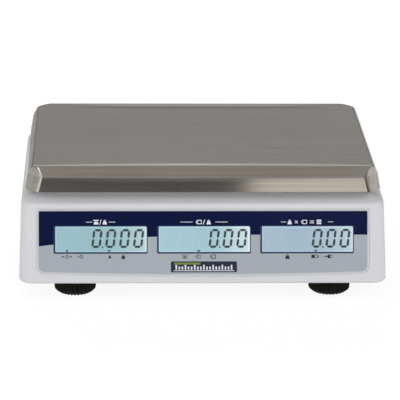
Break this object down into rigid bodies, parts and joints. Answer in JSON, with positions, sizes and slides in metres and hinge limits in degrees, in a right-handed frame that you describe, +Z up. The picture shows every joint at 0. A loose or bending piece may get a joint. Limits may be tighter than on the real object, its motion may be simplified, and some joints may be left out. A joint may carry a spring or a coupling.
{
  "type": "retail price scale",
  "caption": "Counter-top price computing scale: lift-off steel pan on a load cell, white housing with customer and operator displays, push keys and levelling feet.",
  "frame": {"origin": "centre of the housing's footprint, on the plane the feet stand on", "axes": "+Z up, -Y towards the customer (the side in the picture), +Y towards the operator, +X to the right in the picture"},
  "size_m": [0.3474, 0.35, 0.1231],
  "materials": {
    "stainless_sheet": "brushed along its width",
    "black_rubber": "moulded, matt",
    "cast_alloy": "as cast",
    "plated_steel": "zinc plated",
    "cell_alloy": "machined",
    "white_housing": "fine spark-eroded texture",
    "grey_base": "moulded",
    "printed_overlay": "back-printed film in two tones",
    "clear_window": "clear",
    "lcd_glass": "backlit, with polariser film",
    "diffuser": "translucent, glowing",
    "circuit_board": "solder mask",
    "silicone": "matt",
    "battery_case": "moulded",
    "black_plastic": "moulded",
    "red_rocker": "moulded",
    "vial_green": "clear acrylic over green fluid",
    "cable_jacket": "matt",
    "key_cap": "moulded, satin top"
  },
  "bodies": {
    "base": {"load_cell": "cell_alloy", "load_cell_spacer": "cell_alloy", "load_cell_screws": "plated_steel", "overload_stops": "plated_steel", "top_housing": "white_housing", "base_plate": "grey_base", "housing_screws": "plated_steel", "customer_overlay": "printed_overlay", "customer_windows": "clear_window", "customer_lcds": "lcd_glass", "customer_backlights": "diffuser", "customer_board": "circuit_board", "operator_overlay": "printed_overlay", "operator_windows": "clear_window", "operator_lcds": "lcd_glass", "operator_backlights": "diffuser", "operator_board": "circuit_board", "keypad_mat": "silicone", "board_screws": "plated_steel", "main_board": "circuit_board", "battery": "battery_case", "battery_strap": "plated_steel", "power_switch_body": "black_plastic", "dc_jack": "black_plastic", "level_vial": "vial_green", "load_cell_cable": "cable_jacket"},
    "weigh_frame": {"platter_spider": "cast_alloy", "spider_screws": "plated_steel", "platter_pads": "black_rubber"},
    "platter": {"weighing_platter": "stainless_sheet"},
    "door": {"battery_door": "grey_base"},
    "rocker": {"power_rocker": "red_rocker"},
    "stud_front_left": {"foot_stud_front_left": "plated_steel"},
    "pad_front_left": {"foot_pad_front_left": "black_rubber"},
    "stud_front_right": {"foot_stud_front_right": "plated_steel"},
    "pad_front_right": {"foot_pad_front_right": "black_rubber"},
    "stud_back_left": {"foot_stud_back_left": "plated_steel"},
    "pad_back_left": {"foot_pad_back_left": "black_rubber"},
    "stud_back_right": {"foot_stud_back_right": "plated_steel"},
    "pad_back_right": {"foot_pad_back_right": "black_rubber"},
    "key_7_body": {"key_7": "key_cap"},
    "key_8_body": {"key_8": "key_cap"},
    "key_9_body": {"key_9": "key_cap"},
    "key_clear_body": {"key_clear": "key_cap"},
    "key_4_body": {"key_4": "key_cap"},
    "key_5_body": {"key_5": "key_cap"},
    "key_6_body": {"key_6": "key_cap"},
    "key_point_body": {"key_point": "key_cap"},
    "key_1_body": {"key_1": "key_cap"},
    "key_2_body": {"key_2": "key_cap"},
    "key_3_body": {"key_3": "key_cap"},
    "key_0_body": {"key_0": "key_cap"},
    "key_memory_1_body": {"key_memory_1": "key_cap"},
    "key_memory_2_body": {"key_memory_2": "key_cap"},
    "key_memory_3_body": {"key_memory_3": "key_cap"},
    "key_zero_body": {"key_zero": "key_cap"},
    "key_tare_body": {"key_tare": "key_cap"},
    "key_unit_body": {"key_unit": "key_cap"},
    "key_light_body": {"key_light": "key_cap"},
    "key_total_body": {"key_total": "key_cap"}
  },
  "joints": [
    {"name": "weigh_travel", "type": "slide", "parent": "base", "child": "weigh_frame", "axis": [0, 0, -1], "range_m": [0, 0.0006], "stiffness_N_per_m": 250000, "springref_m": -0.00006, "deforming": ["load_cell"]},
    {"name": "platter_lift", "type": "slide", "parent": "weigh_frame", "child": "platter", "axis": [0, 0, 1], "range_m": [0, 0.05]},
    {"name": "battery_door_slide", "type": "slide", "parent": "base", "child": "door", "axis": [0, 1, 0], "range_m": [0, 0.066]},
    {"name": "power_rocker_tilt", "type": "hinge", "parent": "base", "child": "rocker", "pos_m": [-0.115, 0.0451, 0.0225], "axis": [0, 1, 0], "range_deg": [0, 16]},
    {"name": "foot_lift_front_left", "type": "slide", "parent": "base", "child": "stud_front_left", "axis": [0, 0, -1], "range_m": [0, 0.008]},
    {"name": "foot_turn_front_left", "type": "hinge", "parent": "stud_front_left", "child": "pad_front_left", "pos_m": [-0.121, -0.149, 0], "axis": [0, 0, -1], "range_deg": [0, 2305]},
    {"name": "foot_lift_front_right", "type": "slide", "parent": "base", "child": "stud_front_right", "axis": [0, 0, -1], "range_m": [0, 0.008]},
    {"name": "foot_turn_front_right", "type": "hinge", "parent": "stud_front_right", "child": "pad_front_right", "pos_m": [0.121, -0.149, 0], "axis": [0, 0, -1], "range_deg": [0, 2305]},
    {"name": "foot_lift_back_left", "type": "slide", "parent": "base", "child": "stud_back_left", "axis": [0, 0, -1], "range_m": [0, 0.008]},
    {"name": "foot_turn_back_left", "type": "hinge", "parent": "stud_back_left", "child": "pad_back_left", "pos_m": [-0.121, 0.149, 0], "axis": [0, 0, -1], "range_deg": [0, 2305]},
    {"name": "foot_lift_back_right", "type": "slide", "parent": "base", "child": "stud_back_right", "axis": [0, 0, -1], "range_m": [0, 0.008]},
    {"name": "foot_turn_back_right", "type": "hinge", "parent": "stud_back_right", "child": "pad_back_right", "pos_m": [0.121, 0.149, 0], "axis": [0, 0, -1], "range_deg": [0, 2305]},
    {"name": "key_7_press", "type": "slide", "parent": "base", "child": "key_7_body", "axis": [0, -0.4698, -0.8828], "range_m": [0, 0.0015], "stiffness_N_per_m": 500, "springref_m": -0.0008},
    {"name": "key_8_press", "type": "slide", "parent": "base", "child": "key_8_body", "axis": [0, -0.4698, -0.8828], "range_m": [0, 0.0015], "stiffness_N_per_m": 500, "springref_m": -0.0008},
    {"name": "key_9_press", "type": "slide", "parent": "base", "child": "key_9_body", "axis": [0, -0.4698, -0.8828], "range_m": [0, 0.0015], "stiffness_N_per_m": 500, "springref_m": -0.0008},
    {"name": "key_clear_press", "type": "slide", "parent": "base", "child": "key_clear_body", "axis": [0, -0.4698, -0.8828], "range_m": [0, 0.0015], "stiffness_N_per_m": 500, "springref_m": -0.0008},
    {"name": "key_4_press", "type": "slide", "parent": "base", "child": "key_4_body", "axis": [0, -0.4698, -0.8828], "range_m": [0, 0.0015], "stiffness_N_per_m": 500, "springref_m": -0.0008},
    {"name": "key_5_press", "type": "slide", "parent": "base", "child": "key_5_body", "axis": [0, -0.4698, -0.8828], "range_m": [0, 0.0015], "stiffness_N_per_m": 500, "springref_m": -0.0008},
    {"name": "key_6_press", "type": "slide", "parent": "base", "child": "key_6_body", "axis": [0, -0.4698, -0.8828], "range_m": [0, 0.0015], "stiffness_N_per_m": 500, "springref_m": -0.0008},
    {"name": "key_point_press", "type": "slide", "parent": "base", "child": "key_point_body", "axis": [0, -0.4698, -0.8828], "range_m": [0, 0.0015], "stiffness_N_per_m": 500, "springref_m": -0.0008},
    {"name": "key_1_press", "type": "slide", "parent": "base", "child": "key_1_body", "axis": [0, -0.4698, -0.8828], "range_m": [0, 0.0015], "stiffness_N_per_m": 500, "springref_m": -0.0008},
    {"name": "key_2_press", "type": "slide", "parent": "base", "child": "key_2_body", "axis": [0, -0.4698, -0.8828], "range_m": [0, 0.0015], "stiffness_N_per_m": 500, "springref_m": -0.0008},
    {"name": "key_3_press", "type": "slide", "parent": "base", "child": "key_3_body", "axis": [0, -0.4698, -0.8828], "range_m": [0, 0.0015], "stiffness_N_per_m": 500, "springref_m": -0.0008},
    {"name": "key_0_press", "type": "slide", "parent": "base", "child": "key_0_body", "axis": [0, -0.4698, -0.8828], "range_m": [0, 0.0015], "stiffness_N_per_m": 500, "springref_m": -0.0008},
    {"name": "key_memory_1_press", "type": "slide", "parent": "base", "child": "key_memory_1_body", "axis": [0, -0.4698, -0.8828], "range_m": [0, 0.0015], "stiffness_N_per_m": 500, "springref_m": -0.0008},
    {"name": "key_memory_2_press", "type": "slide", "parent": "base", "child": "key_memory_2_body", "axis": [0, -0.4698, -0.8828], "range_m": [0, 0.0015], "stiffness_N_per_m": 500, "springref_m": -0.0008},
    {"name": "key_memory_3_press", "type": "slide", "parent": "base", "child": "key_memory_3_body", "axis": [0, -0.4698, -0.8828], "range_m": [0, 0.0015], "stiffness_N_per_m": 500, "springref_m": -0.0008},
    {"name": "key_zero_press", "type": "slide", "parent": "base", "child": "key_zero_body", "axis": [0, -0.4698, -0.8828], "range_m": [0, 0.0015], "stiffness_N_per_m": 500, "springref_m": -0.0008},
    {"name": "key_tare_press", "type": "slide", "parent": "base", "child": "key_tare_body", "axis": [0, -0.4698, -0.8828], "range_m": [0, 0.0015], "stiffness_N_per_m": 500, "springref_m": -0.0008},
    {"name": "key_unit_press", "type": "slide", "parent": "base", "child": "key_unit_body", "axis": [0, -0.4698, -0.8828], "range_m": [0, 0.0015], "stiffness_N_per_m": 500, "springref_m": -0.0008},
    {"name": "key_light_press", "type": "slide", "parent": "base", "child": "key_light_body", "axis": [0, -0.4698, -0.8828], "range_m": [0, 0.0015], "stiffness_N_per_m": 500, "springref_m": -0.0008},
    {"name": "key_total_press", "type": "slide", "parent": "base", "child": "key_total_body", "axis": [0, -0.4698, -0.8828], "range_m": [0, 0.0015], "stiffness_N_per_m": 500, "springref_m": -0.0008}
  ],
  "couplings": [
    {"joint": "foot_turn_front_left", "follows": "foot_lift_front_left", "rad_per_m": 5026.5},
    {"joint": "foot_turn_front_right", "follows": "foot_lift_front_right", "rad_per_m": 5026.5},
    {"joint": "foot_turn_back_left", "follows": "foot_lift_back_left", "rad_per_m": 5026.5},
    {"joint": "foot_turn_back_right", "follows": "foot_lift_back_right", "rad_per_m": 5026.5}
  ]
}
